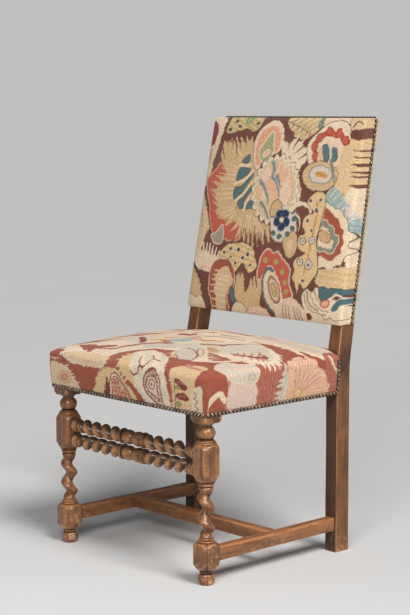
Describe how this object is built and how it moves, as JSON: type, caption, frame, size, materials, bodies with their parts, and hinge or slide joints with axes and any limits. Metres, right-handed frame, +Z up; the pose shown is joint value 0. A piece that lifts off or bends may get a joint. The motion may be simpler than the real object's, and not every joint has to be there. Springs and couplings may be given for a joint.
{
  "type": "oak side chair",
  "caption": "Oak side chair with barley-twist front legs and stretchers, an H stretcher, raked posts, and a stuffed tapestry seat and back.",
  "frame": {"origin": "on the floor, at the middle of the chair's box", "axes": "+Z up, the chair faces -Y, +X is its left-hand side as sat in and the viewer's right from the front"},
  "size_m": [0.5486, 0.5752, 1],
  "materials": {
    "oak": "waxed",
    "peg_oak": "riven, waxed",
    "webbing": "woven jute",
    "hessian": "plain weave",
    "stuffing": "horsehair",
    "seat_tapestry": "wool needlework",
    "back_tapestry": "wool needlework",
    "backing": "plain linen",
    "nails": "aged"
  },
  "bodies": {
    "root": {"front_leg_left": "oak", "front_leg_right": "oak", "rear_post_left": "oak", "rear_post_right": "oak", "twist_stretcher_upper": "oak", "twist_stretcher_lower": "oak", "side_stretcher_left": "oak", "side_stretcher_right": "oak", "cross_stretcher": "oak", "seat_rail_front": "oak", "seat_rail_left": "oak", "seat_rail_right": "oak", "seat_rail_rear": "oak", "back_rail_lower": "oak", "back_rail_crest": "oak", "peg_twist_stretcher_upper_left": "peg_oak", "peg_twist_stretcher_upper_right": "peg_oak", "peg_twist_stretcher_lower_left": "peg_oak", "peg_twist_stretcher_lower_right": "peg_oak", "peg_side_stretcher_left_in_front_leg_left": "peg_oak", "peg_side_stretcher_left_in_rear_post_left": "peg_oak", "peg_side_stretcher_right_in_front_leg_right": "peg_oak", "peg_side_stretcher_right_in_rear_post_right": "peg_oak", "peg_cross_stretcher_left": "peg_oak", "peg_cross_stretcher_right": "peg_oak", "peg_seat_rail_front_left": "peg_oak", "peg_seat_rail_front_right": "peg_oak", "peg_seat_rail_left_in_front_leg_left": "peg_oak", "peg_seat_rail_left_in_rear_post_left": "peg_oak", "peg_seat_rail_right_in_front_leg_right": "peg_oak", "peg_seat_rail_right_in_rear_post_right": "peg_oak", "peg_seat_rail_rear_left": "peg_oak", "peg_seat_rail_rear_right": "peg_oak", "peg_back_rail_lower_left": "peg_oak", "peg_back_rail_lower_right": "peg_oak", "peg_back_rail_crest_left": "peg_oak", "peg_back_rail_crest_right": "peg_oak", "seat_web_long_1": "webbing", "seat_web_long_2": "webbing", "seat_web_long_3": "webbing", "seat_web_long_4": "webbing", "seat_web_cross_1": "webbing", "seat_web_cross_2": "webbing", "seat_web_cross_3": "webbing", "seat_hessian": "hessian", "seat_stuffing": "stuffing", "seat_cover": "seat_tapestry", "back_hessian": "hessian", "back_stuffing": "stuffing", "back_cover": "back_tapestry", "back_outer_cover": "backing"}
  },
  "joints": []
}
